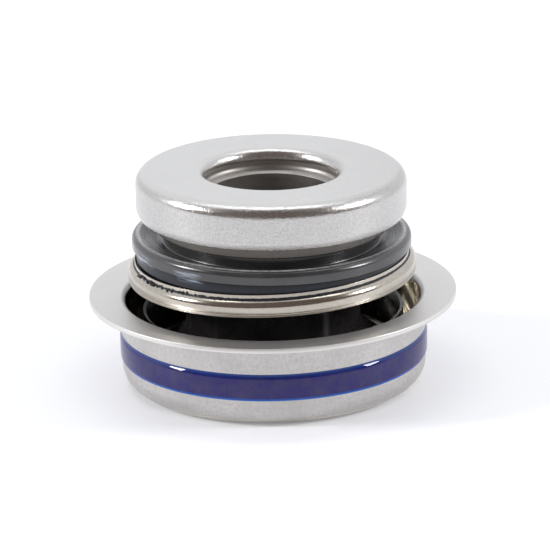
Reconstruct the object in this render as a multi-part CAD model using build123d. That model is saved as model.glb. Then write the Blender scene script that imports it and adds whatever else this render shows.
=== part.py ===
from build123d import *
import os
from math import atan2, cos, radians, remainder, sin, tan, tau

# Water pump seal: a spring-loaded face seal in a pressed cup, with the seat that turns on the shaft.
# Millimetres. The origin is the centre of the cup's underside, and +Z runs up the shaft.
# Sections are drawn as (radius, height) and turned about the Z axis.
# Radii are counted outwards from the shaft, and heights upwards from the underside.

shaft_radius = 6.0

# Turning sleeve
sleeve_sheet = 0.4
sleeve_foot = 0.35           # lowest point of the flared end above the underside
flare_reach = 1.8            # how far the flare spreads beyond the bore
flare_height = 0.85
flare_bend = 0.5
collar_step = 0.8            # the wide top end is this much wider than the bore
collar_depth = 0.75
collar_slope = 0.4           # height lost on the slope down to the bore
collar_bend = 0.5
bore_bend = 0.05

# Case cup
case_sheet = 0.45
case_hole_clearance = 0.9    # between the sleeve and the hole in the floor
centre_run = 2.2             # width of the raised middle of the floor
centre_rise = 1.6
step_run = 0.8               # how far out the step takes to come down
step_bend = 0.6
case_corner = 2.1            # outside radius where the wall meets the floor
cup_height = 9.15
flange_reach = 3.1
flange_rise = 0.25           # the rim stands this much above the flange's root
flange_fillet = 0.12         # under the flange

# Lacquer band
lacquer_rise = 0.72          # above the cup's rounded corner
lacquer_height = 2.68
lacquer_thickness = 0.18
lacquer_shoulder = 0.14

# Spring and its two seats
spring_wire = 0.8
spring_clearance = 0.5       # spring to sleeve
spring_room = 9.4            # height between the seats
spring_turns = 5.5
spring_end_gap = 0.1
seat_sheet = 0.3
seat_margin = 1.1            # the lower seat reaches this far beyond the spring
seat_setback = 0.2           # the upper seat stops this far inside the carbon ring's foot
seat_play = 0.25             # lets the carbon ring rock on the upper seat

# Rubber bellows and the ring that clamps its foot
rubber_wall = 0.8
rubber_edge = 0.1
head_floor = 1.0
head_corner = 0.3
head_gap = 0.05              # rubber to the carbon ring
head_cover = 0.75            # rubber outside the carbon ring's foot
neck_clearance = 0.1         # spring to rubber
neck_length = 1.95
skirt_clearance = 1.4        # from the step in the cup's floor
skirt_height = 3.13
bellows_bend = 1.6
foot_thickness = 1.0
foot_gap = 0.02
foot_clearance = 0.1         # from the cup's rounded corner
clamp_sheet = 0.4
clamp_height = 2.0
clamp_corner = 1.0
clamp_gap = 0.03
clamp_hole_gap = 0.13        # clamp ring to the bellows' wall

# Carbon ring
carbon_clearance = 1.2       # carbon ring to sleeve
nose_bevel = 1.4             # width of the slope inside the nose
nose_drop = 0.65             # height lost on that slope
nose_width = 1.6
nose_rise = 0.55             # the nose stands this much above the rim
nose_edge = 0.05
gutter = 0.7                 # flat bottom between the nose and the recess's slope
gutter_rounding = 0.4
recess_run = 1.6
recess_depth = 0.75
ridge_rounding = 0.35
rim_land = 0.8
rim_thickness = 1.35
rim_edge = 0.12
rim_rounding = 0.6
rim_overhang = 0.4           # the rim covers the rubber by this much
foot_depth = 1.6
foot_edge = 0.2
carbon_edge = 0.15
bevel_edge = 0.1

# Retainer ring round the bellows' head
retainer_sheet = 0.22
retainer_gap = 0.1           # ring to rubber
retainer_width = 0.75
retainer_height = 2.25
retainer_play = 0.4          # bead to the cup's wall
bead_height = 1.77
bead_rounding = 1.2
bead_arc = 45                # degrees
bead_lip = 0.02
bead_corner = 0.45
collar_corner = 0.26
crease_rises = (0.52, 0.25)
crease_radius = 0.045

# Mating ring, its gasket and the seat shell
face_film = 0.02
face_margin = 0.8            # the mating ring's face is this much wider than the nose inside
mating_thickness = 2.8
mating_edge = 0.35
mating_break = 0.2
mating_proud = 1.38          # stands out this much below the shell
gasket_gap = 0.05            # rubber to its neighbours
gasket_crown = 2.33
gasket_skirt = 1.25
gasket_inner_edge = 0.3
gasket_lip = 0.7             # how far the gasket's skirt comes down beside the mating ring
shell_setback = 0.45         # shell inside the carbon ring's rim
shell_sheet = 0.45
shell_rounding = 1.25
hole_clearance = 0.5         # between the shaft and the hole's turned-down edge
hole_rounding = 1.0
neck_depth = 1.1             # the hole's edge is turned down by this much
crimp_height = 0.65
crimp_pinch = 0.25
crimp_bend = 0.5

# The floating head sits a little askew in its rubber
tilt_height = 12.0
head_tilt = 0.7              # about Y, left side up
retainer_tilt = -1.3         # about Y, right side up

# Radii that follow, from the shaft outwards
sleeve_outer = shaft_radius + sleeve_sheet
collar_radius = shaft_radius + collar_step
shell_hole = shaft_radius + hole_clearance
case_hole = sleeve_outer + case_hole_clearance
centre_radius = case_hole + centre_run
spring_bore = sleeve_outer + spring_clearance
spring_outer = spring_bore + spring_wire
neck_radius = spring_outer + neck_clearance + rubber_wall
skirt_radius = centre_radius + step_run + skirt_clearance
carbon_bore = sleeve_outer + carbon_clearance
nose_inner = carbon_bore + nose_bevel
nose_outer = nose_inner + nose_width
ridge_radius = nose_outer + gutter + recess_run
rim_radius = ridge_radius + rim_land
head_radius = rim_radius - rim_overhang
pocket_radius = head_radius - head_cover
carbon_foot_radius = pocket_radius - head_gap
shell_radius = rim_radius - shell_setback
retainer_bore = head_radius + retainer_gap
retainer_radius = retainer_bore + retainer_width
cup_bore = retainer_radius + retainer_play
housing_radius = cup_bore + case_sheet

# Heights that follow, from the underside upwards
foot_top = case_sheet + foot_gap + foot_thickness
lower_seat_base = centre_rise + case_sheet
spring_base = lower_seat_base + seat_sheet
upper_seat_base = spring_base + spring_room
head_low = upper_seat_base - head_floor
carbon_foot = upper_seat_base + seat_sheet + seat_play
rim_low = carbon_foot + foot_depth
rim_top = rim_low + rim_thickness
face_height = rim_top + nose_rise
mating_low = face_height + face_film
mating_top = mating_low + mating_thickness
gasket_seat = mating_top + gasket_gap
gasket_top = gasket_seat + gasket_crown
shell_top = gasket_top + gasket_gap + shell_sheet


# Shared ways of making a piece
def turned(section):
    return revolve(Plane.XZ * section, Axis.Z)


def ring(inner, outer, low, high):
    return make_face(Polyline((inner, low), (outer, low), (outer, high), (inner, high), close=True))


def rounded(corners):
    """Closed section through (radius, height, rounding) corners."""
    points = [(r, z) for r, z, rounding in corners]
    roundings = [rounding for r, z, rounding in corners]
    return make_face(FilletPolyline(*points, radius=roundings, close=True))


def bent_sheet(points, bends, sheet):
    """Section of a sheet that lies on the left of the line through the points."""
    headings = []
    for (r1, z1), (r2, z2) in zip(points, points[1:]):
        heading = atan2(z2 - z1, r2 - r1)
        last = headings[-1] if headings else heading
        headings.append(last + remainder(heading - last, tau))
    before = headings[:1] + headings
    after = headings + headings[-1:]
    far = []
    for (r, z), a, b in zip(points, before, after):
        reach = sheet / cos((b - a) / 2)
        far.append((r - reach * sin((a + b) / 2), z + reach * cos((a + b) / 2)))
    far_bends = [
        max(bend - sheet, 0) if b > a else bend + sheet
        for bend, a, b in zip(bends, headings, headings[1:])
    ]
    outline = points + far[::-1]
    return make_face(FilletPolyline(*outline, radius=[0, *bends, 0, 0, *far_bends[::-1], 0], close=True))


def askew(piece, angle):
    return piece.rotate(Axis((0, 0, tilt_height), (0, 1, 0)), angle)


# Case cup
def make_case_cup():
    flange_root = cup_height - flange_rise - case_sheet
    return turned(bent_sheet(
        [
            (case_hole, centre_rise),
            (centre_radius, centre_rise),
            (centre_radius + step_run, 0),
            (housing_radius, 0),
            (housing_radius, flange_root),
            (housing_radius + flange_reach, flange_root + flange_rise),
        ],
        [step_bend, step_bend + case_sheet, case_corner, flange_fillet],
        case_sheet,
    ))


def make_sealant_band():
    outer = housing_radius + lacquer_thickness
    low = case_corner + lacquer_rise
    high = low + lacquer_height
    return turned(rounded([
        (housing_radius, low, 0),
        (outer, low, lacquer_shoulder),
        (outer, high, lacquer_shoulder),
        (housing_radius, high, 0),
    ]))


# Bellows, clamp ring, spring and seats
def make_bellows():
    opening = neck_radius - rubber_wall / 2
    head = turned(rounded([
        (opening, head_low, 0),
        (head_radius, head_low, head_corner),
        (head_radius, rim_low - head_gap, rubber_edge),
        (pocket_radius, rim_low - head_gap, rubber_edge),
        (pocket_radius, upper_seat_base, 0),
        (opening, upper_seat_base, 0),
    ]))
    wall = turned(bent_sheet(
        [
            (skirt_radius, foot_top - foot_thickness / 2),
            (skirt_radius, foot_top + skirt_height),
            (neck_radius, head_low - neck_length),
            (neck_radius, head_low + head_floor / 2),
        ],
        [bellows_bend + rubber_wall, bellows_bend],
        rubber_wall,
    ))
    foot_radius = cup_bore - (case_corner - case_sheet) - foot_clearance
    foot = turned(ring(skirt_radius - rubber_wall, foot_radius, case_sheet + foot_gap, foot_top))
    return askew(head, head_tilt) + wall + foot


def make_foot_clamp_ring():
    outer = cup_bore - clamp_gap
    return turned(bent_sheet(
        [
            (skirt_radius + clamp_hole_gap, foot_top),
            (outer, foot_top),
            (outer, foot_top + clamp_height),
        ],
        [clamp_corner],
        clamp_sheet,
    ))


def make_lower_spring_seat():
    return turned(ring(case_hole, spring_outer + seat_margin, lower_seat_base, spring_base))


def make_upper_spring_seat():
    outer = carbon_foot_radius - seat_setback
    top = upper_seat_base + seat_sheet
    return askew(turned(ring(spring_bore, outer, upper_seat_base, top)), head_tilt)


def make_spring():
    low = spring_base + spring_wire / 2
    height = upper_seat_base - spring_end_gap - spring_wire / 2 - low
    path = Helix(height / spring_turns, height, spring_bore + spring_wire / 2, center=(0, 0, low))
    section = Plane(path @ 0, z_dir=path % 0) * Circle(spring_wire / 2)
    return sweep(section, path, is_frenet=True)


# Retainer ring
def make_retainer_ring():
    outer = retainer_radius
    arc = radians(bead_arc)
    bead_top = head_low + bead_height
    bead_end = outer - bead_rounding * (1 - cos(arc))
    shoulder = bead_top - bead_rounding * (sin(arc) - tan(arc / 2))
    section = bent_sheet(
        [
            (retainer_bore, head_low + retainer_height),
            (retainer_bore, head_low),
            (outer, head_low),
            (outer, shoulder),
            (bead_end - bead_lip, bead_top + bead_lip),
        ],
        [collar_corner, bead_corner, bead_rounding],
        retainer_sheet,
    )
    for rise in crease_rises:
        dip = bead_corner - rise
        reach = outer - bead_corner + (bead_corner ** 2 - dip ** 2) ** 0.5
        section -= Pos(reach, head_low + rise) * Circle(crease_radius)
    return askew(turned(section), retainer_tilt)


# Carbon ring
def make_carbon_ring():
    nose_foot = rim_top - recess_depth
    return askew(turned(rounded([
        (carbon_bore, carbon_foot, carbon_edge),
        (carbon_foot_radius, carbon_foot, foot_edge),
        (carbon_foot_radius, rim_low, 0),
        (rim_radius, rim_low, rim_edge),
        (rim_radius, rim_top, rim_rounding),
        (ridge_radius, rim_top, ridge_rounding),
        (ridge_radius - recess_run, nose_foot, gutter_rounding),
        (nose_outer, nose_foot, carbon_edge),
        (nose_outer, face_height, nose_edge),
        (nose_inner, face_height, nose_edge),
        (carbon_bore, face_height - nose_drop, bevel_edge),
    ])), head_tilt)


# Turning seat
def make_mating_ring():
    bore = nose_inner - face_margin
    outer = shell_radius - shell_sheet - gasket_skirt - 2 * gasket_gap
    return askew(turned(rounded([
        (bore, mating_low, mating_break),
        (outer, mating_low, mating_edge),
        (outer, mating_top, mating_break),
        (bore, mating_top, mating_break),
    ])), head_tilt)


def make_seat_gasket():
    outer = shell_radius - shell_sheet - gasket_gap
    inner = outer - gasket_skirt
    bore = collar_radius + sleeve_sheet + gasket_gap
    low = gasket_seat - gasket_lip
    return askew(turned(rounded([
        (inner, low, rubber_edge),
        (outer, low, rubber_edge),
        (outer, gasket_top, shell_rounding - shell_sheet + gasket_gap),
        (bore, gasket_top, gasket_inner_edge),
        (bore, gasket_seat, rubber_edge),
        (inner, gasket_seat, 0),
    ])), head_tilt)


def make_seat_shell():
    lower = mating_low + mating_proud
    return askew(turned(bent_sheet(
        [
            (shell_radius - crimp_pinch, lower),
            (shell_radius, lower + crimp_height),
            (shell_radius, shell_top),
            (shell_hole, shell_top),
            (shell_hole, shell_top - neck_depth),
        ],
        [crimp_bend, shell_rounding, hole_rounding],
        shell_sheet,
    )), head_tilt)


def make_sleeve():
    collar_top = shell_top - neck_depth - gasket_gap
    collar_low = collar_top - collar_depth
    return askew(turned(bent_sheet(
        [
            (collar_radius, collar_top),
            (collar_radius, collar_low),
            (shaft_radius, collar_low - collar_slope),
            (shaft_radius, sleeve_foot + flare_height),
            (shaft_radius + flare_reach, sleeve_foot),
        ],
        [collar_bend, bore_bend, flare_bend],
        sleeve_sheet,
    )), head_tilt)


pieces = {
    "case_cup": make_case_cup,
    "sealant_band": make_sealant_band,
    "bellows": make_bellows,
    "foot_clamp_ring": make_foot_clamp_ring,
    "lower_spring_seat": make_lower_spring_seat,
    "spring": make_spring,
    "upper_spring_seat": make_upper_spring_seat,
    "retainer_ring": make_retainer_ring,
    "carbon_ring": make_carbon_ring,
    "mating_ring": make_mating_ring,
    "seat_gasket": make_seat_gasket,
    "seat_shell": make_seat_shell,
    "sleeve": make_sleeve,
}

os.makedirs("parts", exist_ok=True)
for name, make in pieces.items():
    export_step(make(), f"parts/{name}.step")
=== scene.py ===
import bpy
import bmesh
import random
from math import atan2, cos, pi, radians, sin, tan
from mathutils import Matrix, Vector


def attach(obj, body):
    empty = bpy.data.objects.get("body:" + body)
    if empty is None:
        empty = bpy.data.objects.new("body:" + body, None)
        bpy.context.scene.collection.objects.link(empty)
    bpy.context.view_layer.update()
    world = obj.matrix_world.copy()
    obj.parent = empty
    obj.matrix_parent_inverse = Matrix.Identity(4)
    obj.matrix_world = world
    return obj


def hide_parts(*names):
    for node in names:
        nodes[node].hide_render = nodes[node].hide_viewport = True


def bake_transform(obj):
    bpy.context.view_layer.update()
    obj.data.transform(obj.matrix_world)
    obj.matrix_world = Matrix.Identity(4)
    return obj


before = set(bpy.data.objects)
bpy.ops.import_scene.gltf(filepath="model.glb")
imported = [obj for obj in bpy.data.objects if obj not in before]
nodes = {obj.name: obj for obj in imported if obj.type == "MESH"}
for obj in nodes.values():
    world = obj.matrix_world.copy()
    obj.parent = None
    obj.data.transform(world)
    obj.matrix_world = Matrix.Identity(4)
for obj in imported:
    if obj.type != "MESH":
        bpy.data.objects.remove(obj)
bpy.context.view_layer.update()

mm = 0.001
headTilt = 0.7  # degrees about Y: carbon, rubber head, mating ring, cap and sleeve
tiltHeight = 12.0  # height of the line that the tilted pieces turn about
fewestSteps = 3  # segments of a rounding
mostSteps = 14
print("frame loaded:", len(nodes), "nodes")


# Small helpers for modelling

def clearSelection():
    if bpy.context.object and bpy.context.object.mode != "OBJECT":
        bpy.ops.object.mode_set(mode="OBJECT")
    bpy.ops.object.select_all(action="DESELECT")


def makeActive(piece):
    clearSelection()
    piece.select_set(True)
    bpy.context.view_layer.objects.active = piece


def nameNew(name):
    # the object that was just added
    piece = bpy.context.object
    piece.name = name
    piece.data.name = name
    return piece


def turnNormalsOut():
    bpy.ops.mesh.select_all(action="SELECT")
    bpy.ops.mesh.normals_make_consistent(inside=False)


def ringEdges(mesh, radius, height):
    # edges that lie on one circle of a turned piece
    near = 2e-6
    found = []
    for edge in mesh.edges:
        if all(abs(v.co.z - height) < near and abs(v.co.xy.length - radius) < near for v in edge.verts):
            found.append(edge)
    return found


def turnAngle(before, here, after):
    first = atan2(here[1] - before[1], here[0] - before[0])
    second = atan2(after[1] - here[1], after[0] - here[0])
    turn = (second - first + pi) % (2 * pi) - pi
    return abs(turn)


def drawTurned(name, corners, segments, closed):
    # a circle is extruded from corner to corner, then each corner is bevelled to its rounding
    clearSelection()
    radius, height = corners[0][:2]
    bpy.ops.mesh.primitive_circle_add(vertices=segments, radius=radius * mm, location=(0, 0, height * mm))
    piece = nameNew(name)
    bpy.ops.object.transform_apply(location=True, rotation=False, scale=False)
    bpy.ops.object.mode_set(mode="EDIT")
    bpy.ops.mesh.select_all(action="SELECT")
    for (r1, z1, _), (r2, z2, _) in zip(corners, corners[1:]):
        bpy.ops.mesh.extrude_region_move(TRANSFORM_OT_translate={"value": (0, 0, (z2 - z1) * mm)})
        bpy.ops.transform.resize(value=(r2 / r1, r2 / r1, 1), center_override=(0, 0, z2 * mm))
    if closed:
        bpy.ops.mesh.select_all(action="DESELECT")
        bpy.ops.mesh.select_mode(type="EDGE")
        bpy.ops.mesh.select_non_manifold()
        bpy.ops.mesh.bridge_edge_loops()
    count = len(corners)
    for place, (r, z, rounding) in enumerate(corners):
        if rounding <= 0:
            continue
        turn = turnAngle(corners[place - 1], corners[place], corners[(place + 1) % count])
        bpy.ops.mesh.select_mode(type="EDGE")
        bpy.ops.mesh.select_all(action="DESELECT")
        mesh = bmesh.from_edit_mesh(piece.data)
        for edge in ringEdges(mesh, r * mm, z * mm):
            edge.select = True
        bmesh.update_edit_mesh(piece.data)
        steps = max(fewestSteps, min(mostSteps, int(turn * (2 + rounding * 6))))
        reach = rounding * tan(turn / 2) * mm
        bpy.ops.mesh.bevel(offset=reach, segments=steps, profile=0.5, affect="EDGES")
    if closed:
        turnNormalsOut()
    bpy.ops.object.mode_set(mode="OBJECT")
    return piece


def applyModifier(piece, kind, **settings):
    makeActive(piece)
    modifier = piece.modifiers.new(kind.lower(), kind)
    for key, value in settings.items():
        setattr(modifier, key, value)
    bpy.ops.object.modifier_apply(modifier=modifier.name)


def finishShading(piece, angle=32):
    makeActive(piece)
    bpy.ops.object.shade_smooth_by_angle(angle=radians(angle))
    applyModifier(piece, "WEIGHTED_NORMAL", keep_sharp=True, weight=60)


def tiltPiece(piece, degrees):
    # the floating head and the cap sit askew
    up = Matrix.Translation((0, 0, tiltHeight * mm))
    piece.data.transform(up @ Matrix.Rotation(radians(degrees), 4, "Y") @ up.inverted())


def turnSolid(name, corners, segments=288):
    return drawTurned(name, corners, segments, closed=True)


def turnSheet(name, corners, sheet, segments=288, edge=0.06):
    # the drawn side of a sheet, given its thickness on the left of the line through the corners
    piece = drawTurned(name, corners, segments, closed=False)
    (r1, z1, _), (r2, z2, _) = corners[0], corners[1]
    left = Vector((-(z2 - z1), 0, r2 - r1)).normalized()
    near = Vector(((r1 * 0.5 + r2 * 0.5) * mm, 0, (z1 * 0.5 + z2 * 0.5) * mm))
    makeActive(piece)
    bpy.ops.object.mode_set(mode="EDIT")
    turnNormalsOut()
    bpy.ops.object.mode_set(mode="OBJECT")
    first = min(piece.data.polygons, key=lambda face: (face.center - near).length)
    if first.normal.dot(left) < 0:
        piece.data.flip_normals()
    applyModifier(piece, "SOLIDIFY", thickness=sheet * mm, offset=1, use_even_offset=True)
    bpy.ops.object.mode_set(mode="EDIT")
    bpy.ops.mesh.select_mode(type="EDGE")
    bpy.ops.mesh.select_all(action="DESELECT")
    bpy.ops.mesh.edges_select_sharp(sharpness=radians(50))
    bpy.ops.mesh.bevel(offset=edge * mm, segments=fewestSteps, profile=0.5, affect="EDGES")
    turnNormalsOut()
    bpy.ops.object.mode_set(mode="OBJECT")
    return piece


# Shared effects for the materials

def newGroup(name, inputs, outputs):
    group = bpy.data.node_groups.new(name, "ShaderNodeTree")
    for label, value in inputs.items():
        socket = group.interface.new_socket(name=label, in_out="INPUT", socket_type="NodeSocketFloat")
        socket.default_value = value
    for label in outputs:
        group.interface.new_socket(name=label, in_out="OUTPUT", socket_type="NodeSocketFloat")
    return group, group.nodes.new("NodeGroupInput"), group.nodes.new("NodeGroupOutput")


def mathNode(tree, operation, *values):
    node = tree.nodes.new("ShaderNodeMath")
    node.operation = operation
    for place, value in enumerate(values):
        if isinstance(value, (int, float)):
            node.inputs[place].default_value = value
        else:
            tree.links.new(value, node.inputs[place])
    return node.outputs[0]


def lengthOf(tree, first, second):
    squares = [mathNode(tree, "MULTIPLY", side, side) for side in (first, second)]
    return mathNode(tree, "SQRT", mathNode(tree, "ADD", *squares))


def splitPlace(tree, system="Object"):
    # the x, y and z of the shaded point, in metres where the system is Object
    coords = tree.nodes.new("ShaderNodeTexCoord")
    split = tree.nodes.new("ShaderNodeSeparateXYZ")
    tree.links.new(coords.outputs[system], split.inputs[0])
    return split.outputs


def addNoise(tree, scale, detail, roughness=0.5, vector=None):
    # noise over the object's own coordinates, unless another vector is given
    node = tree.nodes.new("ShaderNodeTexNoise")
    node.inputs["Detail"].default_value = detail
    node.inputs["Roughness"].default_value = roughness
    if vector is None:
        vector = tree.nodes.new("ShaderNodeTexCoord").outputs["Object"]
    tree.links.new(vector, node.inputs["Vector"])
    if isinstance(scale, float):
        node.inputs["Scale"].default_value = scale
    else:
        tree.links.new(scale, node.inputs["Scale"])
    return node.outputs[0]


def putOutMask(group, value, out):
    clamp = group.nodes.new("ShaderNodeClamp")
    group.links.new(value, clamp.inputs[0])
    group.links.new(clamp.outputs[0], out.inputs["Mask"])


def maskBetween(group, value, low, high, soft, out):
    # 1 between two limits, with soft ends inside them
    past = mathNode(group, "DIVIDE", mathNode(group, "SUBTRACT", value, low), soft)
    left = mathNode(group, "DIVIDE", mathNode(group, "SUBTRACT", high, value), soft)
    putOutMask(group, mathNode(group, "MINIMUM", past, left), out)


def makeTurnedGrain():
    # fine lines that run round the axis, as drawing and turning leave them
    group, given, out = newGroup("turnedGrain", {"Fineness": 1.0, "Around": 1.0}, ["Lines", "Blotches"])
    x, y, z = splitPlace(group)
    slope = 0.83  # how much the radius counts against the height
    linesPerMetre = 9000.0
    angle = mathNode(group, "ARCTAN2", y, x)
    level = mathNode(group, "ADD", z, mathNode(group, "MULTIPLY", lengthOf(group, x, y), slope))
    height = mathNode(group, "MULTIPLY", level, given.outputs["Fineness"])
    place = group.nodes.new("ShaderNodeCombineXYZ")
    for axis, operation in enumerate(("COSINE", "SINE")):
        along = mathNode(group, "MULTIPLY", mathNode(group, operation, angle), given.outputs["Around"])
        group.links.new(along, place.inputs[axis])
    group.links.new(mathNode(group, "MULTIPLY", height, linesPerMetre), place.inputs[2])
    group.links.new(addNoise(group, 1.6, 4.0, vector=place.outputs[0]), out.inputs["Lines"])
    group.links.new(addNoise(group, 260.0, 5.0), out.inputs["Blotches"])
    return group


def makeFineGrain():
    # a close even grain, as tumbling, blasting or moulding leaves it
    group, given, out = newGroup("fineGrain", {"Scale": 9000.0, "Patches": 300.0}, ["Grain", "Patches"])
    group.links.new(addNoise(group, given.outputs["Scale"], 3.0), out.inputs["Grain"])
    group.links.new(addNoise(group, given.outputs["Patches"], 6.0, 0.6), out.inputs["Patches"])
    return group


def makeHeightMask():
    # 1 between two heights, in millimetres, with soft ends
    group, given, out = newGroup("heightMask", {"Low": 0.0, "High": 1.0, "Soft": 0.1}, ["Mask"])
    z = mathNode(group, "MULTIPLY", splitPlace(group)[2], 1 / mm)
    maskBetween(group, z, given.outputs["Low"], given.outputs["High"], given.outputs["Soft"], out)
    return group


def makeRingMask():
    # 1 along one circle of a turned piece, in millimetres, on a head that is tilted about the Y line
    inputs = {"Radius": 1.0, "Height": 1.0, "Reach": 0.1, "Tilt": 0.0}
    group, given, out = newGroup("ringMask", inputs, ["Mask"])
    x, y, z = (mathNode(group, "MULTIPLY", side, 1 / mm) for side in splitPlace(group))
    lift = mathNode(group, "MULTIPLY", x, mathNode(group, "MULTIPLY", given.outputs["Tilt"], pi / 180))
    height = mathNode(group, "SUBTRACT", mathNode(group, "ADD", z, lift), given.outputs["Height"])
    off = mathNode(group, "SUBTRACT", lengthOf(group, x, y), given.outputs["Radius"])
    apart = mathNode(group, "DIVIDE", lengthOf(group, off, height), given.outputs["Reach"])
    putOutMask(group, mathNode(group, "SUBTRACT", 1.0, apart), out)
    return group


def makeArcMask():
    # 1 between two angles round the axis, in degrees from the front, positive to the right
    group, given, out = newGroup("arcMask", {"From": -90.0, "To": 90.0, "Soft": 5.0}, ["Mask"])
    x, y, _ = splitPlace(group)
    turn = mathNode(group, "ARCTAN2", x, mathNode(group, "MULTIPLY", y, -1.0))
    angle = mathNode(group, "MULTIPLY", turn, 180 / pi)
    maskBetween(group, angle, given.outputs["From"], given.outputs["To"], given.outputs["Soft"], out)
    return group


turnedGrain = makeTurnedGrain()
ringMask = makeRingMask()
arcMask = makeArcMask()
fineGrain = makeFineGrain()
heightMask = makeHeightMask()
print("shared effects ready")


# Materials

def startMaterial(name, constants):
    material = bpy.data.materials.new(name)
    material.use_nodes = True
    tree = material.node_tree
    shader = tree.nodes["Principled BSDF"]
    for key, value in constants.items():
        shader.inputs[key].default_value = value
    return material, tree, shader


def addGroup(tree, group, **values):
    node = tree.nodes.new("ShaderNodeGroup")
    node.node_tree = group
    for key, value in values.items():
        node.inputs[key].default_value = value
    return node


def addRange(tree, source, low, high, fromLow=0.3, fromHigh=0.7):
    node = tree.nodes.new("ShaderNodeMapRange")
    node.inputs["From Min"].default_value = fromLow
    node.inputs["From Max"].default_value = fromHigh
    node.inputs["To Min"].default_value = low
    node.inputs["To Max"].default_value = high
    tree.links.new(source, node.inputs["Value"])
    return node.outputs[0]


def addColours(tree, factor, first, second):
    node = tree.nodes.new("ShaderNodeMix")
    node.data_type = "RGBA"
    for socket, value in ((node.inputs[6], first), (node.inputs[7], second)):
        if isinstance(value, tuple):
            socket.default_value = (*value, 1)
        else:
            tree.links.new(value, socket)
    tree.links.new(factor, node.inputs[0])
    return node.outputs[2]


def addBump(tree, shader, source, distance, under=None):
    node = tree.nodes.new("ShaderNodeBump")
    node.inputs["Distance"].default_value = distance * mm
    node.inputs["Strength"].default_value = 1.0
    tree.links.new(source, node.inputs["Height"])
    if under is not None:
        tree.links.new(under, node.inputs["Normal"])
    tree.links.new(node.outputs[0], shader.inputs["Normal"])
    return node.outputs[0]


def setRoughness(tree, shader, source, rough, low=0.85, high=1.25):
    # shares of the middle roughness, as the source rises
    tree.links.new(addRange(tree, source, rough * low, rough * high), shader.inputs["Roughness"])


def makeTurnedSteel(name, light, dark, rough, lineDepth, fineness=1.0, around=1.0, speckle=0.0):
    material, tree, shader = startMaterial(name, {"Metallic": 1.0})
    grain = addGroup(tree, turnedGrain, Fineness=fineness, Around=around)
    tone = addColours(tree, addRange(tree, grain.outputs["Blotches"], 0.0, 1.0, 0.35, 0.7), light, dark)
    ridges = addBump(tree, shader, grain.outputs["Lines"], lineDepth)
    if speckle > 0:
        fine = addGroup(tree, fineGrain, Scale=4200.0, Patches=3600.0)
        dull = tuple(c * 0.92 for c in dark)
        tone = addColours(tree, addRange(tree, fine.outputs["Patches"], 0.0, 1.0, 0.42, 0.7), tone, dull)
        addBump(tree, shader, fine.outputs["Grain"], speckle, under=ridges)
    setRoughness(tree, shader, grain.outputs["Lines"], rough)
    tree.links.new(tone, shader.inputs["Base Color"])
    return material


def makeGrainedSteel(name, light, dark, rough, depth, scale):
    material, tree, shader = startMaterial(name, {"Metallic": 1.0})
    grain = addGroup(tree, fineGrain, Scale=scale, Patches=300.0)
    setRoughness(tree, shader, grain.outputs["Patches"], rough, 0.85, 1.2)
    tone = addColours(tree, addRange(tree, grain.outputs["Grain"], 0.0, 1.0), dark, light)
    tree.links.new(tone, shader.inputs["Base Color"])
    addBump(tree, shader, grain.outputs["Grain"], depth)
    return material


def quietSide(material, start, end):
    # less shine between two angles, where the photograph has none
    tree = material.node_tree
    arc = addGroup(tree, arcMask, From=start, To=end, Soft=10.0)
    shine = addRange(tree, arc.outputs["Mask"], 0.3, 0.04, 0.0, 1.0)
    tree.links.new(shine, tree.nodes["Principled BSDF"].inputs["Specular IOR Level"])


def layColour(material, group, values, colour, amount=1.0):
    # a second colour over what the material already has, where the group's mask is 1
    tree = material.node_tree
    target = tree.nodes["Principled BSDF"].inputs["Base Color"]
    under = target.links[0].from_socket
    mask = mathNode(tree, "MULTIPLY", addGroup(tree, group, **values).outputs["Mask"], amount)
    tree.links.new(addColours(tree, mask, under, colour), target)


def addSmear(tree, colour):
    # pale torn film along the joint of carbon and rubber, on the photograph's left
    near = addGroup(tree, ringMask, Tilt=headTilt, **smear["ring"])
    flakes = addGroup(tree, turnedGrain, Fineness=0.45, Around=3.0)
    arcs = [addGroup(tree, arcMask, From=start, To=end, Soft=4.0) for start, end in smear["arcs"]]
    total = mathNode(tree, "MAXIMUM", *(arc.outputs["Mask"] for arc in arcs))
    total = mathNode(tree, "MULTIPLY", total, smear["amount"])
    closeBy = addRange(tree, near.outputs["Mask"], 0.0, 1.0, 0.0, 0.45)
    torn = addRange(tree, flakes.outputs["Lines"], 0.0, 1.0, 0.42, 0.68)
    amount = mathNode(tree, "MULTIPLY", mathNode(tree, "MULTIPLY", closeBy, total), torn)
    return addColours(tree, amount, colour, smear["colour"])


def makeRubber(name, colour, rough, depth, smeared=False, shine=0.35):
    material, tree, shader = startMaterial(name, {"Specular IOR Level": shine})
    grain = addGroup(tree, fineGrain, Scale=5200.0, Patches=420.0)
    dusty = tuple(min(1, c * 1.7 + 0.004) for c in colour)
    setRoughness(tree, shader, grain.outputs["Patches"], rough, 0.8)
    tone = addColours(tree, addRange(tree, grain.outputs["Patches"], 0.0, 1.0, 0.4, 0.75), colour, dusty)
    if smeared:
        tone = addSmear(tree, tone)
    tree.links.new(tone, shader.inputs["Base Color"])
    addBump(tree, shader, grain.outputs["Grain"], depth)
    return material


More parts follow.
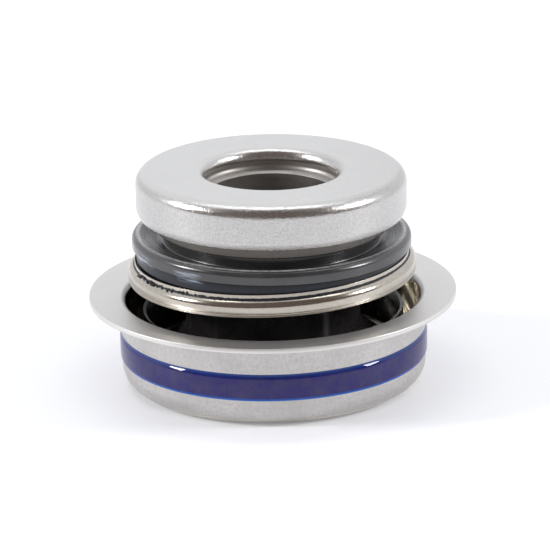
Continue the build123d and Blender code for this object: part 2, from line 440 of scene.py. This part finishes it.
def makeLacquer():
    # deep blue, lighter where the band thins out at its two edges
    coat = {"Coat Weight": 0.85, "Coat Roughness": 0.04, "Specular IOR Level": 0.0}
    material, tree, shader = startMaterial("blueLacquer", coat)
    grain = addGroup(tree, fineGrain, Scale=2600.0, Patches=700.0)
    cloud = addRange(tree, grain.outputs["Patches"], 0.0, 1.0, 0.42, 0.72)
    body = addColours(tree, cloud, (0.012, 0.007, 0.110), (0.032, 0.025, 0.095))
    below = addGroup(tree, heightMask, Low=0.0, High=5.34, Soft=0.3)
    topped = addColours(tree, below.outputs["Mask"], (0.004, 0.030, 0.18), body)
    above = addGroup(tree, heightMask, Low=2.98, High=9.0, Soft=0.16)
    edged = addColours(tree, above.outputs["Mask"], (0.0, 0.085, 0.42), topped)
    tree.links.new(edged, shader.inputs["Base Color"])
    tree.links.new(addRange(tree, grain.outputs["Patches"], 0.22, 0.4), shader.inputs["Roughness"])
    addBump(tree, shader, grain.outputs["Grain"], 0.004)
    return material


smear = {
    "colour": (0.36, 0.41, 0.50),
    "ring": {"Radius": 13.62, "Height": 13.93, "Reach": 0.8},
    "arcs": [(-86, -58), (-44, -29)],
    "amount": 0.85,
}
headBlack = (0.011, 0.013, 0.019)
wallBlack = (0.020, 0.018, 0.018)

cupSteel = makeTurnedSteel(
    "cupSteel", (0.62, 0.605, 0.59), (0.53, 0.515, 0.50), 0.42, 0.0006, 2.4, 1.2, 0.008,
)
cupInside = makeTurnedSteel("cupInside", (0.76, 0.71, 0.61), (0.62, 0.58, 0.50), 0.13, 0.0004, 1.2, 1.2)
capSteel = makeGrainedSteel("capSteel", (0.60, 0.59, 0.58), (0.47, 0.46, 0.45), 0.22, 0.034, 5200.0)
sleeveSteel = makeTurnedSteel("sleeveSteel", (0.45, 0.43, 0.41), (0.36, 0.34, 0.32), 0.42, 0.0012)
hiddenSteel = makeTurnedSteel("hiddenSteel", (0.62, 0.60, 0.56), (0.52, 0.50, 0.46), 0.32, 0.001)
springSteel = makeTurnedSteel("springSteel", (0.58, 0.57, 0.55), (0.48, 0.47, 0.46), 0.28, 0.001)
brightNickel = makeTurnedSteel(
    "brightNickel", (0.53, 0.495, 0.44), (0.46, 0.425, 0.37), 0.16, 0.0003, 0.8, 1.4, 0.006,
)
blackRubber = makeRubber("blackRubber", headBlack, 0.38, 0.003)
headRubber = makeRubber("headRubber", headBlack, 0.38, 0.003, smeared=True)
wallRubber = makeRubber("wallRubber", wallBlack, 0.26, 0.001)
neckRubber = makeRubber("neckRubber", wallBlack, 0.26, 0.001, shine=0.12)
blueLacquer = makeLacquer()

# painted light on the flange and the cap's top, which are made lighter than the walls, and painted shade
# on the left inside the cup, which is made dark
flangeTopPaintedLight = {"Low": 8.4, "High": 20.0, "Soft": 0.15}
capTopPaintedLight = {"Low": 21.15, "High": 30.0, "Soft": 0.3}
# painted light: the flange's top is lighter where it faces up to the light
layColour(cupSteel, heightMask, flangeTopPaintedLight, (0.80, 0.785, 0.77), 0.7)
# painted light: the cap's top face is lighter where it faces up to the light
layColour(capSteel, heightMask, capTopPaintedLight, (0.74, 0.735, 0.72), 0.7)
# painted shade: the inner wall on the left is darkened to a shaded reflection
layColour(cupInside, arcMask, {"From": -200.0, "To": -42.0, "Soft": 14.0}, (0.085, 0.075, 0.065))
# painted shade: the hidden steel rings are darkened on the left, so only their right side shows a bright
# reflection
layColour(hiddenSteel, arcMask, {"From": -200.0, "To": 20.0, "Soft": 14.0}, (0.05, 0.045, 0.04))

# two faint painted highlights on the bellows' neck, where the side lamps would show on it
for start, end, tone in ((-43, -38, 0.05), (33, 40, 0.15)):
    paintedHighlight = (tone, tone * 0.92, tone * 0.96)
    layColour(neckRubber, arcMask, {"From": start, "To": end, "Soft": 5.0}, paintedHighlight)
quietSide(wallRubber, -130, -30)


def makeCarbon():
    material, tree, shader = startMaterial("carbonGraphite", {"Specular IOR Level": 0.9})
    grain = addGroup(tree, turnedGrain, Fineness=0.7, Around=2.0)
    tree.links.new(addRange(tree, grain.outputs["Lines"], 0.17, 0.31), shader.inputs["Roughness"])
    cloud = addRange(tree, grain.outputs["Blotches"], 0.0, 1.0, 0.35, 0.7)
    body = addColours(tree, cloud, (0.020, 0.020, 0.021), (0.036, 0.036, 0.038))
    # a pale ring along the ridge: partly speckled edge wear, partly a painted highlight where the ridge
    # catches the light
    ridgeWearAndHighlight = addGroup(tree, ringMask, Radius=13.06, Height=15.25, Reach=0.30, Tilt=headTilt)
    speck = addGroup(tree, fineGrain, Scale=5200.0, Patches=2600.0)
    speckWearAndHighlight = addRange(tree, speck.outputs["Patches"], 0.5, 1.0, 0.38, 0.6)
    pale = mathNode(tree, "MULTIPLY", ridgeWearAndHighlight.outputs["Mask"], speckWearAndHighlight)
    ridged = addColours(tree, pale, body, (0.62, 0.61, 0.60))
    tree.links.new(addSmear(tree, ridged), shader.inputs["Base Color"])
    addBump(tree, shader, grain.outputs["Lines"], 0.001)
    return material


def makeHardFace():
    material, tree, shader = startMaterial("hardFace", {"Specular IOR Level": 0.8, "Metallic": 0.5})
    grain = addGroup(tree, fineGrain, Scale=4200.0, Patches=500.0)
    tree.links.new(addRange(tree, grain.outputs["Patches"], 0.22, 0.4), shader.inputs["Roughness"])
    cloud = addRange(tree, grain.outputs["Patches"], 0.0, 1.0)
    tone = addColours(tree, cloud, (0.085, 0.077, 0.070), (0.14, 0.125, 0.11))
    tree.links.new(tone, shader.inputs["Base Color"])
    addBump(tree, shader, grain.outputs["Grain"], 0.002)
    return material


carbonGraphite = makeCarbon()
hardFace = makeHardFace()
print("materials ready")


def dress(piece, material):
    piece.data.materials.clear()
    piece.data.materials.append(material)


def standFor(piece, body, node):
    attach(piece, body)
    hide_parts(node)


# Case cup

cup = {
    "sheet": 0.45,
    "corners": [  # outer side, from the hole in the floor to the flange's rim
        (7.3, 1.6, 0),
        (9.5, 1.6, 0.6),
        (10.3, 0, 1.05),
        (15.0, 0, 2.1),
        (15.0, 8.45, 0.12),
        (18.1, 8.7, 0),
    ],
    "insideLow": 0.3,  # limits of the faces that have the inner finish
    "insideTop": 8.4,
    "insideRadius": 14.6,
    "floorRadius": 14.4,
}


def makeCaseCup():
    piece = turnSheet("caseCup", cup["corners"], cup["sheet"], 360)
    finishShading(piece)
    dress(piece, cupSteel)
    piece.data.materials.append(cupInside)
    for face in piece.data.polygons:
        middle = face.center
        inward = face.normal.xy.dot(middle.xy) < 0 or middle.xy.length < cup["floorRadius"] * mm
        low = cup["insideLow"] * mm < middle.z < cup["insideTop"] * mm
        if low and inward and middle.xy.length < cup["insideRadius"] * mm:
            face.material_index = 1
    standFor(piece, "case", "case_cup")


# Lacquer band

band = {"inner": 14.97, "outer": 15.18, "low": 2.82, "high": 5.5}


def makeLacquerBand():
    inner, outer, low, high = band["inner"], band["outer"], band["low"], band["high"]
    piece = turnSolid("lacquerBand", [
        (inner, low, 0),
        (15.06, low + 0.02, 0),
        (15.12, low + 0.10, 0),
        (15.16, low + 0.24, 0),
        (outer, low + 0.46, 0),
        (outer, high - 0.47, 0),
        (15.165, high - 0.425, 0),
        (15.02, high - 0.18, 0),
        (15.0, high, 0),
        (inner, high, 0),
    ], 360)
    finishShading(piece, 22)
    dress(piece, blueLacquer)
    standFor(piece, "case", "sealant_band")


# Bellows

bellows = {
    "wall": 0.8,
    "neck": 8.6,
    "skirt": 11.7,
    "headRadius": 13.3,
    "pocket": 12.55,
    "split": 12.4,
    "foldInner": 12.1,
    "foldOuter": 12.83,
    "foldLow": 3.5,
    "foldTop": 7.5,
    "headLow": 10.75,
    "headTop": 13.85,
    "floor": 11.75,
    "parting": 0.35,
}


def makeBellows():
    head = turnSolid("bellowsHead", [
        (bellows["neck"] - 0.4, bellows["headLow"], 0),
        (bellows["headRadius"], bellows["headLow"], 0.3),
        (bellows["headRadius"], bellows["split"], 0.05),
        (bellows["pocket"], bellows["split"], 0.05),
        (bellows["pocket"], bellows["floor"], 0),
        (bellows["neck"] - 0.4, bellows["floor"], 0),
    ])
    tiltPiece(head, headTilt)
    finishShading(head)
    dress(head, headRubber)
    standFor(head, "seal_head", "bellows")
    lipLow = bellows["split"] + bellows["parting"]
    lip = turnSolid("bellowsLip", [  # grips the carbon and rocks with it, parted behind the collar
        (bellows["pocket"], lipLow, 0.05),
        (bellows["headRadius"], lipLow, 0.05),
        (bellows["headRadius"], bellows["headTop"], 0.1),
        (bellows["pocket"], bellows["headTop"], 0.1),
    ])
    tiltPiece(lip, headTilt)
    finishShading(lip)
    dress(lip, headRubber)
    standFor(lip, "face_ring", "bellows")
    wall = turnSheet("bellowsWall", [
        (12.8, 1.47, 0),
        (bellows["skirt"], 1.47, 0.3),
        (bellows["skirt"], 3.3, 1.0),
        (bellows["neck"], 5.6, 1.4),
        (bellows["neck"], 11.2, 0),
    ], bellows["wall"], 192)
    finishShading(wall)
    dress(wall, neckRubber)
    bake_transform(wall)
    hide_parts("bellows")
    fold = turnSolid("bellowsFold", [
        (bellows["foldInner"], bellows["foldLow"], 0.1),
        (bellows["foldOuter"], bellows["foldLow"], 0.1),
        (bellows["foldOuter"], bellows["foldTop"], 0.05),
        (bellows["foldOuter"] - 0.3, bellows["foldTop"] - 0.1, 0.1),
        (bellows["foldInner"], bellows["foldTop"] - 0.9, 0.3),
    ], 256)
    finishShading(fold)
    dress(fold, wallRubber)
    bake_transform(fold)


makeCaseCup()
makeLacquerBand()
makeBellows()
print("cup, band and bellows made")


# Retainer ring

retainer = {
    "sheet": 0.099,
    "bore": 13.4,
    "radius": 14.15,
    "low": 10.75,
    "top": 13.0,
    "beadTop": 12.52,
    "tilt": -1.3,
}


def makeRetainer():
    outer, low, beadTop = retainer["radius"], retainer["low"], retainer["beadTop"]
    piece = turnSheet("retainerRing", [
        (retainer["bore"], retainer["top"], 0),
        (retainer["bore"], low, 0.26),
        (13.70, low, 0),
        (13.87, low + 0.033, 0),
        (14.02, low + 0.13, 0),
        (14.075, low + 0.20, 0),
        (14.088, low + 0.235, 0),
        (14.05, low + 0.25, 0),  # lower crease
        (14.108, low + 0.27, 0),
        (14.14, low + 0.35, 0),
        (outer, low + 0.45, 0),
        (outer, low + 0.50, 0),
        (outer - 0.05, low + 0.52, 0),  # upper crease
        (outer, low + 0.54, 0),
        (outer, beadTop - 0.31, 0.70),
        (13.615, beadTop + 0.04, 0.03),
        (13.56, beadTop - 0.28, 0),
    ], retainer["sheet"], 360, 0.02)
    tiltPiece(piece, retainer["tilt"])
    finishShading(piece)
    dress(piece, brightNickel)
    standFor(piece, "seal_head", "retainer_ring")


# Rubber squeezed into the groove between the collar and the bead

squeezed = {"inner": 13.46, "outer": 13.64, "low": 12.20, "top": 12.72, "waveFrom": 12.45, "crumbs": 60}


def makeSqueezedRubber():
    piece = turnSolid("squeezedRubber", [
        (squeezed["inner"], squeezed["low"], 0),
        (squeezed["outer"], squeezed["low"], 0),
        (squeezed["outer"], squeezed["top"] - 0.14, 0.05),
        (squeezed["inner"], squeezed["top"], 0.04),
    ], 360)
    for point in piece.data.vertices:  # ragged where the photograph's left is
        angle = atan2(point.co.x, -point.co.y)
        ragged = max(0, min(1, (-angle - 0.25) / 0.3)) * max(0, min(1, (1.3 + angle) / 0.15))
        if point.co.z > squeezed["waveFrom"] * mm:
            wave = sin(angle * 173) + sin(angle * 97 + 1.3) + 0.8 * sin(angle * 311 + 0.4)
            point.co.z += (0.012 + 0.05 * ragged) * wave * mm
            point.co.xy *= 1 + ragged * 0.004 * max(0, sin(angle * 131) + sin(angle * 59))
    tiltPiece(piece, retainer["tilt"])
    finishShading(piece, 50)
    dress(piece, blackRubber)
    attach(piece, "seal_head")


def makeCrumbs():
    # small torn flakes of rubber along the groove
    seeds = random.Random(7)
    parts = []
    for count in range(squeezed["crumbs"]):
        clearSelection()
        size = seeds.uniform(0.05, 0.13) * mm
        bpy.ops.mesh.primitive_ico_sphere_add(subdivisions=1, radius=size)
        crumb = bpy.context.object
        for point in crumb.data.vertices:
            point.co *= seeds.uniform(0.55, 1.35)
        angle = -seeds.uniform(0.3, 1.25)
        radius = seeds.uniform(13.50, 13.80) * mm
        height = (12.60 + seeds.uniform(-0.02, 0.06) - max(0, radius / mm - 13.62) * 0.5) * mm
        crumb.rotation_euler = (seeds.uniform(0, 3), seeds.uniform(0, 3), angle)
        crumb.scale = (seeds.uniform(0.9, 2.4), 1, seeds.uniform(0.5, 0.9))
        crumb.location = (radius * sin(angle), -radius * cos(angle), height)
        bpy.ops.object.transform_apply(location=True, rotation=True, scale=True)
        parts.append(crumb)
    clearSelection()
    for crumb in parts:
        crumb.select_set(True)
    bpy.context.view_layer.objects.active = parts[0]
    bpy.ops.object.join()
    piece = nameNew("rubberCrumbs")
    tiltPiece(piece, retainer["tilt"])
    dress(piece, blackRubber)
    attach(piece, "seal_head")


# Carbon ring

carbon = {
    "corners": [
        (7.6, 12.3, 0.15),
        (12.5, 12.3, 0.2),
        (12.5, 13.9, 0),
        (13.7, 13.9, 0.12),
        (13.7, 15.25, 0.6),
        (12.9, 15.25, 0.35),
        (11.3, 14.5, 0.4),
        (10.6, 14.5, 0.15),
        (10.6, 15.8, 0.05),
        (9.0, 15.8, 0.05),
        (7.6, 15.15, 0.1),
    ],
}


def makeCarbonRing():
    piece = turnSolid("carbonRing", carbon["corners"], 360)
    tiltPiece(piece, headTilt)
    finishShading(piece)
    dress(piece, carbonGraphite)
    standFor(piece, "face_ring", "carbon_ring")


# Mating ring and gasket

mating = {"bore": 8.2, "radius": 11.45, "low": 15.82, "top": 18.62}
gasket = {"bore": 7.25, "inner": 11.5, "outer": 12.75, "low": 17.97, "seat": 18.67, "top": 21.0}


def makeMatingRing():
    piece = turnSolid("matingRing", [
        (mating["bore"], mating["low"], 0.2),
        (mating["radius"], mating["low"], 0.2),
        (mating["radius"], mating["top"], 0.2),
        (mating["bore"], mating["top"], 0.2),
    ])
    tiltPiece(piece, headTilt)
    finishShading(piece)
    dress(piece, hardFace)
    standFor(piece, "rotor", "mating_ring")


def makeGasket():
    piece = turnSolid("seatGasket", [
        (gasket["inner"], gasket["low"], 0.1),
        (gasket["outer"], gasket["low"], 0.1),
        (gasket["outer"], gasket["top"], 0.85),
        (gasket["bore"], gasket["top"], 0.1),
        (gasket["bore"], gasket["seat"], 0.1),
        (gasket["inner"], gasket["seat"], 0),
    ], 256)
    tiltPiece(piece, headTilt)
    finishShading(piece)
    dress(piece, blackRubber)
    standFor(piece, "rotor", "seat_gasket")


# Seat shell

shell = {
    "sheet": 0.45,
    "radius": 13.25,
    "top": 21.5,
    "low": 17.2,
    "pinch": 0.25,
    "crimp": 0.65,
    "hole": 6.5,
    "neck": 1.1,
}


def makeShell():
    radius, top, low = shell["radius"], shell["top"], shell["low"]
    piece = turnSheet("seatShell", [
        (radius - shell["pinch"], low, 0),
        (radius, low + shell["crimp"], 0.5),
        (radius, top, 1.25),
        (shell["hole"], top, 1.0),
        (shell["hole"], top - shell["neck"], 0),
    ], shell["sheet"], 360)
    tiltPiece(piece, headTilt)
    finishShading(piece)
    dress(piece, capSteel)
    standFor(piece, "rotor", "seat_shell")


# Sleeve

sleeve = {"sheet": 0.4, "bore": 6.0, "collar": 6.8}


def makeSleeve():
    piece = turnSheet("sleeve", [
        (sleeve["collar"], 20.35, 0),
        (sleeve["collar"], 19.6, 0.5),
        (sleeve["bore"], 19.2, 0.05),
        (sleeve["bore"], 1.2, 0.5),
        (7.8, 0.35, 0),
    ], sleeve["sheet"], 256)
    tiltPiece(piece, headTilt)
    finishShading(piece)
    dress(piece, sleeveSteel)
    standFor(piece, "rotor", "sleeve")


# Spring

spring = {"wire": 0.8, "radius": 7.3, "low": 2.75, "height": 8.5, "turns": 5.5, "steps": 380}


def makeSpring():
    clearSelection()
    bpy.ops.mesh.primitive_circle_add(
        vertices=20,
        radius=spring["wire"] / 2 * mm,
        location=(spring["radius"] * mm, 0, spring["low"] * mm),
        rotation=(pi / 2, 0, 0),
    )
    piece = nameNew("coilSpring")
    bpy.ops.object.transform_apply(location=True, rotation=True, scale=False)
    applyModifier(
        piece, "SCREW",
        axis="Z",
        angle=2 * pi * spring["turns"],
        screw_offset=spring["height"] * mm,
        steps=spring["steps"],
        render_steps=spring["steps"],
    )
    bpy.ops.object.mode_set(mode="EDIT")
    bpy.ops.mesh.select_all(action="DESELECT")
    bpy.ops.mesh.select_mode(type="EDGE")
    bpy.ops.mesh.select_non_manifold()
    bpy.ops.mesh.edge_face_add()
    turnNormalsOut()
    bpy.ops.object.mode_set(mode="OBJECT")
    bpy.ops.object.shade_smooth_by_angle(angle=radians(40))
    dress(piece, springSteel)
    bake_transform(piece)
    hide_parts("spring")


makeRetainer()
makeSqueezedRubber()
makeCrumbs()
makeCarbonRing()
makeMatingRing()
makeGasket()
makeShell()
makeSleeve()
makeSpring()
for name in ("foot_clamp_ring", "lower_spring_seat", "upper_spring_seat"):
    dress(nodes[name], hiddenSteel)
print("head and turning seat made")


# Floor, lights and camera

studio = {
    "floor": (0.86, 0.86, 0.88),
    "floorGlow": 0.14,
    "glowColour": (0.97, 0.98, 1.0),
    "sweep": (0.96, 0.97, 1.0),
    "ceiling": (0.20, 0.165, 0.15),
    "sweepTop": 99,  # elevation past the zenith where the white sweep ends
    "sweepSoft": 0.10,
    "seen": 0.97,
    "spread": 0.70,
    "mirrored": 1.0,
    "lampDistance": 0.8,
    "lampAim": 0.012,
    "pitch": 18.19,
    "roll": 1.389,
    "distance": 364.3,
    "focal": 3668,  # in pixels of a picture 550 wide
    "pictureWidth": 550,
    "sensor": 36,
    "across": -0.026,
    "up": -10.02,
}


def makeFloor():
    clearSelection()
    bpy.ops.mesh.primitive_plane_add(size=3)
    floor = bpy.context.object
    floor.name = "floor"
    material, tree, shader = startMaterial("paleFloor", {"Roughness": 0.55, "Specular IOR Level": 0.3})
    shader.inputs["Base Color"].default_value = (*studio["floor"], 1)
    shader.inputs["Emission Color"].default_value = (*studio["glowColour"], 1)
    shader.inputs["Emission Strength"].default_value = studio["floorGlow"]
    dress(floor, material)


def addSoftLight(name, azimuth, elevation, size, power):
    # azimuth is measured from the camera's side, positive to the right
    turn, lift = radians(azimuth), radians(elevation)
    place = Vector((sin(turn) * cos(lift), -cos(turn) * cos(lift), sin(lift))) * studio["lampDistance"]
    light = bpy.data.lights.new(name, "AREA")
    light.shape = "RECTANGLE"
    light.size, light.size_y = size
    light.energy = power
    lamp = bpy.data.objects.new(name, light)
    bpy.context.scene.collection.objects.link(lamp)
    lamp.location = place
    lamp.rotation_euler = (Vector((0, 0, studio["lampAim"])) - place).to_track_quat("-Z", "Y").to_euler()


def makeWorld():
    # white all round, and a dim warm room on the near side that only glossy surfaces see
    world = bpy.data.worlds.new("studioWorld")
    bpy.context.scene.world = world
    world.use_nodes = True
    tree = world.node_tree
    background = tree.nodes["Background"]
    _, y, z = splitPlace(tree, "Generated")
    edge = radians(studio["sweepTop"])
    ceiling = tree.nodes.new("ShaderNodeMapRange")
    ceiling.interpolation_type = "SMOOTHSTEP"
    ceiling.inputs["From Min"].default_value = -studio["sweepSoft"]
    ceiling.inputs["From Max"].default_value = studio["sweepSoft"]
    side = mathNode(tree, "MULTIPLY", y, -sin(edge))
    tree.links.new(mathNode(tree, "MULTIPLY_ADD", z, cos(edge), side), ceiling.inputs["Value"])
    path = tree.nodes.new("ShaderNodeLightPath")
    dim = mathNode(tree, "MULTIPLY", ceiling.outputs[0], path.outputs["Is Glossy Ray"])
    mixed = addColours(tree, dim, studio["sweep"], studio["ceiling"])
    tree.links.new(mixed, background.inputs["Color"])
    seen = mathNode(tree, "MULTIPLY", path.outputs["Is Camera Ray"], studio["seen"])
    spread = mathNode(tree, "MULTIPLY_ADD", path.outputs["Is Diffuse Ray"], studio["spread"], seen)
    mirrored = mathNode(tree, "MULTIPLY_ADD", path.outputs["Is Glossy Ray"], studio["mirrored"], spread)
    tree.links.new(mirrored, background.inputs["Strength"])


def makeCamera():
    pitch, roll = radians(studio["pitch"]), radians(studio["roll"])
    right = Vector((1, 0, 0))
    forward = Vector((0, cos(pitch), -sin(pitch)))
    upward = Vector((0, sin(pitch), cos(pitch)))
    side = right * cos(roll) - upward * sin(roll)
    top = right * sin(roll) + upward * cos(roll)
    place = (-forward * studio["distance"] - side * studio["across"] - top * studio["up"]) * mm
    lens = bpy.data.cameras.new("camera")
    lens.sensor_width = studio["sensor"]
    lens.lens = studio["focal"] / studio["pictureWidth"] * studio["sensor"]
    lens.clip_start = 0.01
    camera = bpy.data.objects.new("camera", lens)
    bpy.context.scene.collection.objects.link(camera)
    camera.matrix_world = Matrix((
        (side.x, top.x, -forward.x, place.x),
        (side.y, top.y, -forward.y, place.y),
        (side.z, top.z, -forward.z, place.z),
        (0, 0, 0, 1),
    ))
    bpy.context.scene.camera = camera


makeFloor()
addSoftLight("topLight", 180, 84, (0.8, 0.12), 0.9)
addSoftLight("rightBox", 80, 30, (0.16, 0.20), 2.3)
addSoftLight("leftBox", -80, 30, (0.16, 0.20), 3.0)
makeWorld()
makeCamera()
bpy.context.scene.view_settings.view_transform = "Standard"
print("stage ready")
